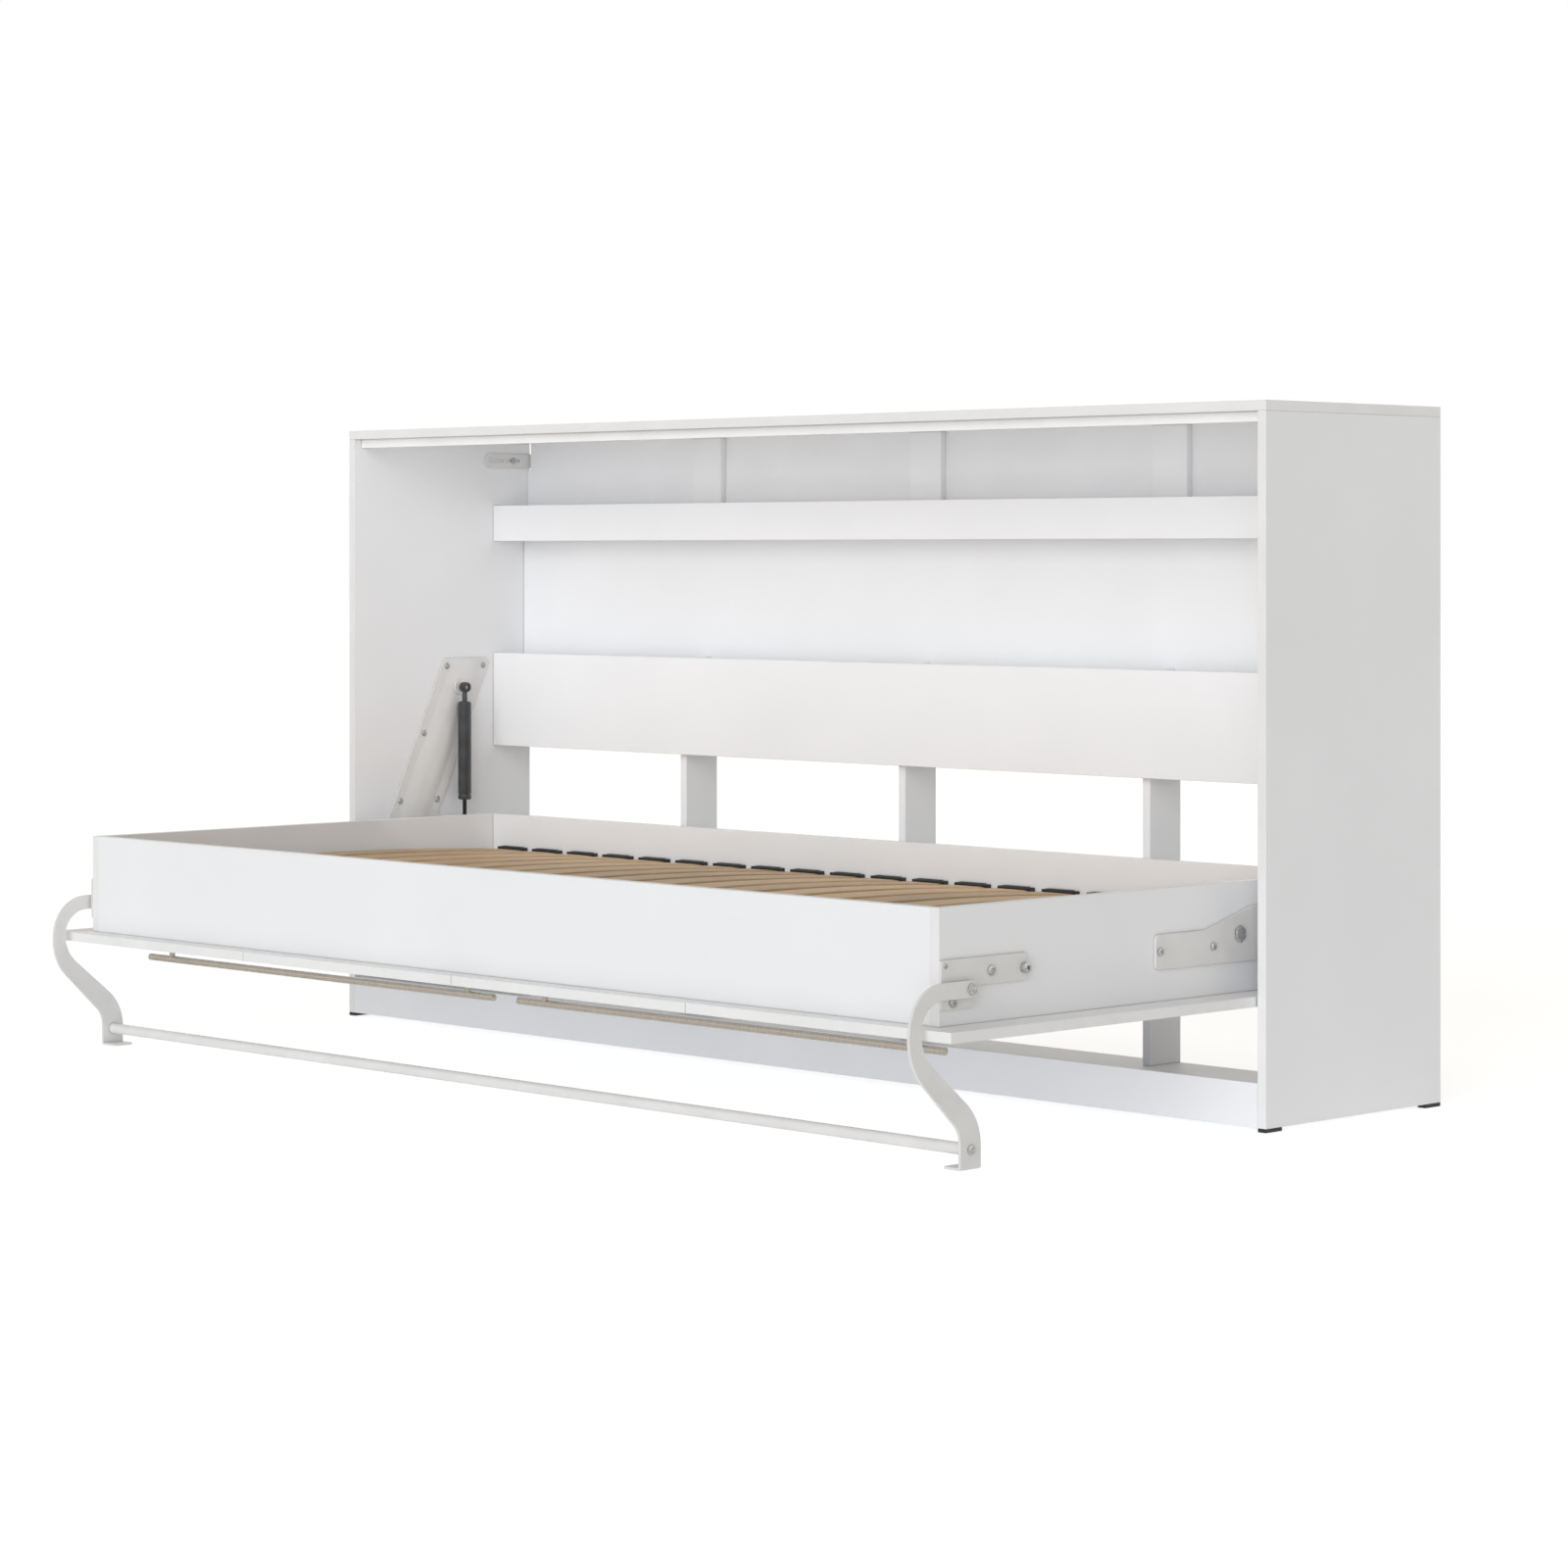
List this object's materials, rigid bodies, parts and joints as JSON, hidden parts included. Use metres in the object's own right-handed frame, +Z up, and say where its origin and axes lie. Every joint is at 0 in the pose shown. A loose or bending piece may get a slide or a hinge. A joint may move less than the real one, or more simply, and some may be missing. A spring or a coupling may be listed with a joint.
{
  "type": "murphy wall bed",
  "caption": "Low horizontal wall bed: a white cabinet whose front folds down on side pivots with gas springs into a slatted single bed on a folding leg.",
  "frame": {"origin": "on the floor, at the middle of the cabinet's width, in the plane of the cabinet's back edge", "axes": "+X along the cabinet's width, +Y towards the wall behind the cabinet, +Z up; the bed folds down towards -Y"},
  "size_m": [2.19, 1.1634, 1.107],
  "materials": {
    "cabinet_board": "white melamine-faced chipboard, fine satin",
    "fibre_board": "thin white-painted fibreboard",
    "coated_steel": "white powder-coated pressed steel",
    "zinc_steel": "zinc-plated fasteners",
    "handle_steel": "brushed stainless bar",
    "spring_steel": "dark grey lacquered gas spring",
    "nitrided_rod": "black nitrided piston rod",
    "beech_ply": "bent beech plywood slats",
    "pine": "plain softwood",
    "black_plastic": "moulded black plastic"
  },
  "bodies": {
    "cabinet": {"left_side_panel": "cabinet_board", "right_side_panel": "cabinet_board", "top_panel": "cabinet_board", "bottom_board": "cabinet_board", "plinth_board": "cabinet_board", "door_stop_board": "cabinet_board", "upper_back_rail": "cabinet_board", "middle_back_rail": "cabinet_board", "middle_back_panel": "cabinet_board", "back_post_1": "cabinet_board", "back_post_2": "cabinet_board", "back_post_3": "cabinet_board", "back_battens": "cabinet_board", "upper_back_board": "fibre_board", "floor_glides": "black_plastic", "left_wall_bracket": "coated_steel", "right_wall_bracket": "coated_steel", "wall_bracket_screws": "zinc_steel", "left_lift_bracket": "coated_steel", "right_lift_bracket": "coated_steel", "lift_bracket_screws": "zinc_steel", "pivot_pins": "zinc_steel", "upper_ball_studs": "coated_steel", "cabinet_dowels": "pine"},
    "bed": {"pivot_bushes": "black_plastic", "left_bed_side": "cabinet_board", "right_bed_side": "cabinet_board", "bed_front_board": "cabinet_board", "bed_rear_board": "cabinet_board", "door_panel_1": "cabinet_board", "door_panel_2": "cabinet_board", "door_panel_3": "cabinet_board", "door_panel_4": "cabinet_board", "door_cleats": "cabinet_board", "slat_ledges": "pine", "slats": "beech_ply", "slat_holders": "black_plastic", "left_handle": "handle_steel", "right_handle": "handle_steel", "handle_posts": "handle_steel", "handle_screws": "zinc_steel", "left_hinge_plate": "coated_steel", "right_hinge_plate": "coated_steel", "hinge_plate_bolts": "zinc_steel", "left_leg_plate": "coated_steel", "right_leg_plate": "coated_steel", "leg_plate_bolts": "zinc_steel", "leg_pivot_bolts": "zinc_steel", "bed_dowels": "pine"},
    "leg": {"left_leg_arm": "coated_steel", "right_leg_arm": "coated_steel", "leg_cross_bar": "coated_steel", "cross_bar_screws": "zinc_steel"},
    "left_spring_cylinder": {"left_gas_cylinder": "spring_steel"},
    "left_spring_rod": {"left_gas_rod": "nitrided_rod", "left_lower_joint": "spring_steel"},
    "right_spring_cylinder": {"right_gas_cylinder": "spring_steel"},
    "right_spring_rod": {"right_gas_rod": "nitrided_rod", "right_lower_joint": "spring_steel"}
  },
  "joints": [
    {"name": "bed_fold", "type": "hinge", "parent": "cabinet", "child": "bed", "pos_m": [0, -0.3335, 0.2985], "axis": [-1, 0, 0], "range_deg": [0, 85]},
    {"name": "leg_fold", "type": "hinge", "parent": "bed", "child": "leg", "pos_m": [0, -1.0347, 0.2565], "axis": [-1, 0, 0], "range_deg": [0, 176.5]},
    {"name": "left_spring_swing", "type": "hinge", "parent": "cabinet", "child": "left_spring_cylinder", "pos_m": [-1.0565, -0.188, 0.61688], "axis": [-1, 0, 0], "range_deg": [0, 19.77]},
    {"name": "left_spring_stroke", "type": "slide", "parent": "left_spring_cylinder", "child": "left_spring_rod", "axis": [0, 0, -1], "range_m": [0, 0.1428]},
    {"name": "right_spring_swing", "type": "hinge", "parent": "cabinet", "child": "right_spring_cylinder", "pos_m": [1.0565, -0.188, 0.61688], "axis": [-1, 0, 0], "range_deg": [0, 19.77]},
    {"name": "right_spring_stroke", "type": "slide", "parent": "right_spring_cylinder", "child": "right_spring_rod", "axis": [0, 0, -1], "range_m": [0, 0.1428]}
  ],
  "couplings": [
    {"joint": "left_spring_swing", "follows": "bed_fold", "ratio": 0.23204},
    {"joint": "left_spring_stroke", "follows": "bed_fold", "m_per_rad": 0.09607},
    {"joint": "right_spring_swing", "follows": "bed_fold", "ratio": 0.23204},
    {"joint": "right_spring_stroke", "follows": "bed_fold", "m_per_rad": 0.09607}
  ]
}
